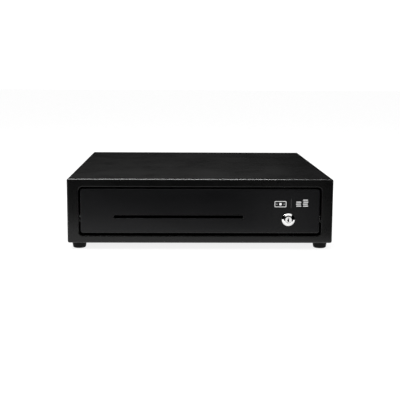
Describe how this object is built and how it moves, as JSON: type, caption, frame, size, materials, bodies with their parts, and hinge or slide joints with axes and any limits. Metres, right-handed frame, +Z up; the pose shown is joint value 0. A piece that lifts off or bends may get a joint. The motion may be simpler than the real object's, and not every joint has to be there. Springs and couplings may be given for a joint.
{
  "type": "cash drawer",
  "caption": "Black steel point-of-sale cash drawer on feet, with a slotted, key-locked front on ball-bearing runners, note bays, coin cups and a solenoid latch.",
  "frame": {"origin": "centre of the footprint, on the surface that the feet stand on", "axes": "+X to the user's right, +Y from the front to the back, +Z up; the drawer opens towards -Y"},
  "size_m": [0.41, 0.4203, 0.11],
  "materials": {
    "cover_paint": "fine-textured black powder coat",
    "pan_zinc": "zinc plated sheet steel, matt",
    "drawer_paint": "smooth black powder coat",
    "front_plastic": "moulded, fine spark-eroded grain",
    "foot_rubber": "matt black rubber",
    "screw_black": "black oxide",
    "screw_zinc": "bright zinc plate",
    "rail_steel": "zinc plated, rolled",
    "bearing_steel": "ground bearing steel",
    "lock_chrome": "polished chrome plate",
    "plug_nickel": "satin nickel plate",
    "spring_steel": "drawn spring wire",
    "till_plastic": "black ABS, light grain",
    "insert_plastic": "black ABS, light grain",
    "clip_plastic": "dark grey moulded acetal",
    "nylon_white": "natural nylon",
    "coil_copper": "enamelled copper winding",
    "board_green": "green solder mask",
    "jack_black": "black moulded socket",
    "wire_red": "red PVC insulation",
    "pad_rubber": "soft black rubber"
  },
  "bodies": {
    "housing": {"top_cover": "cover_paint", "base_pan": "drawer_paint", "foot_front_left": "foot_rubber", "foot_front_right": "foot_rubber", "foot_rear_left": "foot_rubber", "foot_rear_right": "foot_rubber", "foot_screws": "screw_zinc", "cover_screws": "screw_black", "lock_keeper": "pan_zinc", "fixed_rail_left": "rail_steel", "fixed_rail_right": "rail_steel", "rail_rivets": "screw_zinc", "front_axles": "rail_steel", "latch_bracket": "pan_zinc", "bracket_screws": "screw_zinc", "pivot_pin": "rail_steel", "pivot_clip": "screw_zinc", "solenoid_yoke": "rail_steel", "coil_bobbin": "nylon_white", "coil_winding": "coil_copper", "plunger_spring": "spring_steel", "switch_body": "jack_black", "jack_board": "board_green", "board_posts": "screw_zinc", "cable_jack": "jack_black", "coil_wires": "wire_red", "eject_post": "rail_steel", "eject_spring": "spring_steel"},
    "drawer": {"drawer_pan": "drawer_paint", "drawer_front": "front_plastic", "front_screws": "screw_zinc", "drawer_rail_left": "rail_steel", "drawer_rail_right": "rail_steel", "drawer_rivets": "screw_zinc", "rear_axles": "rail_steel", "striker": "pan_zinc", "striker_pin": "rail_steel", "eject_pad": "pad_rubber", "rod_bush": "nylon_white", "lock_barrel": "lock_chrome", "lock_nut": "screw_zinc", "cash_till": "till_plastic", "coin_insert": "insert_plastic", "clip_rod": "rail_steel"},
    "lock": {"lock_plug": "plug_nickel", "lock_cam": "rail_steel", "release_rod": "rail_steel"},
    "front_bearing_left": {"front_bearing_left": "bearing_steel"},
    "front_bearing_right": {"front_bearing_right": "bearing_steel"},
    "rear_bearing_left": {"rear_bearing_left": "bearing_steel"},
    "rear_bearing_right": {"rear_bearing_right": "bearing_steel"},
    "latch": {"latch_lever": "rail_steel"},
    "plunger": {"solenoid_plunger": "bearing_steel", "link_pin": "rail_steel"},
    "status_button": {"switch_button": "nylon_white"},
    "clip_1": {"bill_clip_1": "clip_plastic"},
    "clip_2": {"bill_clip_2": "clip_plastic"},
    "clip_3": {"bill_clip_3": "clip_plastic"},
    "clip_4": {"bill_clip_4": "clip_plastic"},
    "clip_5": {"bill_clip_5": "clip_plastic"}
  },
  "joints": [
    {"name": "drawer_slide", "type": "slide", "parent": "housing", "child": "drawer", "axis": [0, -1, 0], "range_m": [0, 0.335], "deforming": ["eject_spring"]},
    {"name": "lock_turn", "type": "hinge", "parent": "drawer", "child": "lock", "pos_m": [0.136, -0.207, 0.0472], "axis": [0, 1, 0], "range_deg": [-90, 90]},
    {"name": "latch_turn", "type": "hinge", "parent": "housing", "child": "latch", "pos_m": [0.102, 0.188, 0.04725], "axis": [0, 0, 1], "range_deg": [0, 18]},
    {"name": "plunger_slide", "type": "slide", "parent": "housing", "child": "plunger", "axis": [1, 0, 0], "range_m": [0, 0.0046], "deforming": ["plunger_spring"]},
    {"name": "button_slide", "type": "slide", "parent": "housing", "child": "status_button", "axis": [0, 1, 0], "range_m": [0, 0.00104]},
    {"name": "front_bearing_left_spin", "type": "hinge", "parent": "housing", "child": "front_bearing_left", "pos_m": [-0.1842, -0.185, 0.0427], "axis": [1, 0, 0], "continuous": true},
    {"name": "rear_bearing_left_spin", "type": "hinge", "parent": "drawer", "child": "rear_bearing_left", "pos_m": [-0.1917, 0.172, 0.0427], "axis": [1, 0, 0], "continuous": true},
    {"name": "front_bearing_right_spin", "type": "hinge", "parent": "housing", "child": "front_bearing_right", "pos_m": [0.1842, -0.185, 0.0427], "axis": [1, 0, 0], "continuous": true},
    {"name": "rear_bearing_right_spin", "type": "hinge", "parent": "drawer", "child": "rear_bearing_right", "pos_m": [0.1917, 0.172, 0.0427], "axis": [1, 0, 0], "continuous": true},
    {"name": "clip_1_lift", "type": "hinge", "parent": "drawer", "child": "clip_1", "pos_m": [-0.14152, 0.1338, 0.084], "axis": [-1, 0, 0], "range_deg": [0, 32], "stiffness_Nm_per_rad": 0.02, "springref_deg": -28.65},
    {"name": "clip_2_lift", "type": "hinge", "parent": "drawer", "child": "clip_2", "pos_m": [-0.07076, 0.1338, 0.084], "axis": [-1, 0, 0], "range_deg": [0, 32], "stiffness_Nm_per_rad": 0.02, "springref_deg": -28.65},
    {"name": "clip_3_lift", "type": "hinge", "parent": "drawer", "child": "clip_3", "pos_m": [0, 0.1338, 0.084], "axis": [-1, 0, 0], "range_deg": [0, 32], "stiffness_Nm_per_rad": 0.02, "springref_deg": -28.65},
    {"name": "clip_4_lift", "type": "hinge", "parent": "drawer", "child": "clip_4", "pos_m": [0.07076, 0.1338, 0.084], "axis": [-1, 0, 0], "range_deg": [0, 32], "stiffness_Nm_per_rad": 0.02, "springref_deg": -28.65},
    {"name": "clip_5_lift", "type": "hinge", "parent": "drawer", "child": "clip_5", "pos_m": [0.14152, 0.1338, 0.084], "axis": [-1, 0, 0], "range_deg": [0, 32], "stiffness_Nm_per_rad": 0.02, "springref_deg": -28.65}
  ],
  "couplings": [
    {"joint": "plunger_slide", "follows": "latch_turn", "m_per_rad": 0.014479},
    {"joint": "button_slide", "follows": "latch_turn", "m_per_rad": 0.0032402},
    {"joint": "front_bearing_left_spin", "follows": "drawer_slide", "rad_per_m": 125},
    {"joint": "rear_bearing_left_spin", "follows": "drawer_slide", "rad_per_m": 125},
    {"joint": "front_bearing_right_spin", "follows": "drawer_slide", "rad_per_m": 125},
    {"joint": "rear_bearing_right_spin", "follows": "drawer_slide", "rad_per_m": 125}
  ]
}
